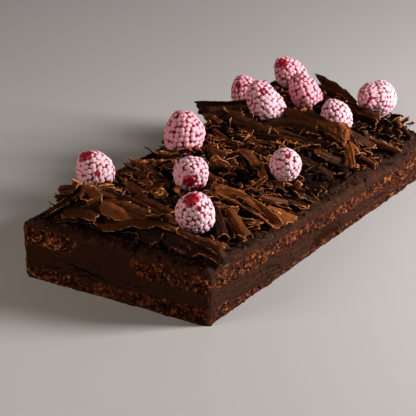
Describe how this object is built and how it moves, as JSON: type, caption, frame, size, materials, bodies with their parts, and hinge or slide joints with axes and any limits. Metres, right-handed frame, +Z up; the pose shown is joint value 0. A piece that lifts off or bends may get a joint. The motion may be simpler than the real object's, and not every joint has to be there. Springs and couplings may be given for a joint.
{
  "type": "chocolate cake",
  "caption": "Rectangular layered chocolate cake with cut sides, heaped with chocolate shavings and topped with frosted raspberries.",
  "frame": {"origin": "middle of the bounding box, at the flat underside that the cake stands on", "axes": "+X along the cake to its far end, +Y towards the hidden long side, +Z up; the shown long side is at -Y and the shown cut end at -X"},
  "size_m": [0.2604, 0.1262, 0.0661],
  "materials": {
    "sponge": "dry dark chocolate crumb",
    "mousse": "smooth dark chocolate mousse, smeared by the knife",
    "ganache": "satin dark chocolate glaze",
    "shavings": "dark chocolate curls with lighter, scraped edges",
    "raspberry": "frosted red, white bloom on the drupelets"
  },
  "bodies": {
    "root": {"sponge_base": "sponge", "mousse": "mousse", "sponge_top": "sponge", "ganache": "ganache", "shavings": "shavings", "raspberry_01": "raspberry", "raspberry_02": "raspberry", "raspberry_03": "raspberry", "raspberry_04": "raspberry", "raspberry_05": "raspberry", "raspberry_06": "raspberry", "raspberry_07": "raspberry", "raspberry_08": "raspberry", "raspberry_09": "raspberry", "raspberry_10": "raspberry", "raspberry_11": "raspberry"}
  },
  "joints": []
}
